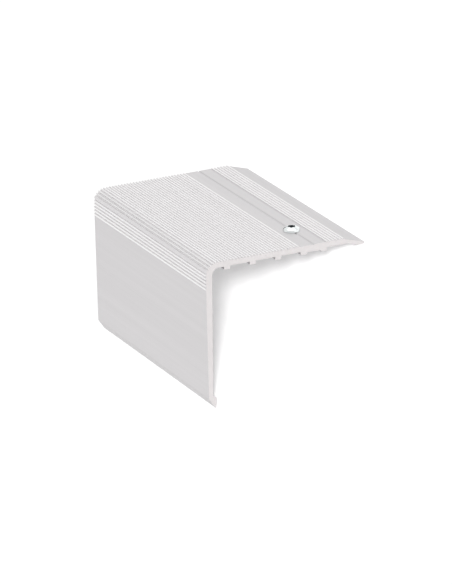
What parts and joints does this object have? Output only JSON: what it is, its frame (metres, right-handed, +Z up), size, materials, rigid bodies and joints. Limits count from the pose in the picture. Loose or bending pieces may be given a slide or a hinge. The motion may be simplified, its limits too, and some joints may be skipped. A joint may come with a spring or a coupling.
{
  "type": "aluminium stair nose",
  "caption": "Extruded aluminium angle that caps the edge of a step, with a ribbed tread and nose, a plain riser leg and a countersunk screw in its screw channel.",
  "frame": {"origin": "bottom centre of the part's box, on the floor it rests on", "axes": "+Y along the step's edge away from the screwed end, +Z up from the floor with the nose up, +X from the riser leg towards the tread"},
  "size_m": [0.0892, 0.1, 0.0471],
  "materials": {
    "aluminium": "satin anodised, ribbed by the extrusion die",
    "zinc_plated_steel": "bright zinc plated"
  },
  "bodies": {
    "root": {"nosing_profile": "aluminium", "screw": "zinc_plated_steel"}
  },
  "joints": []
}
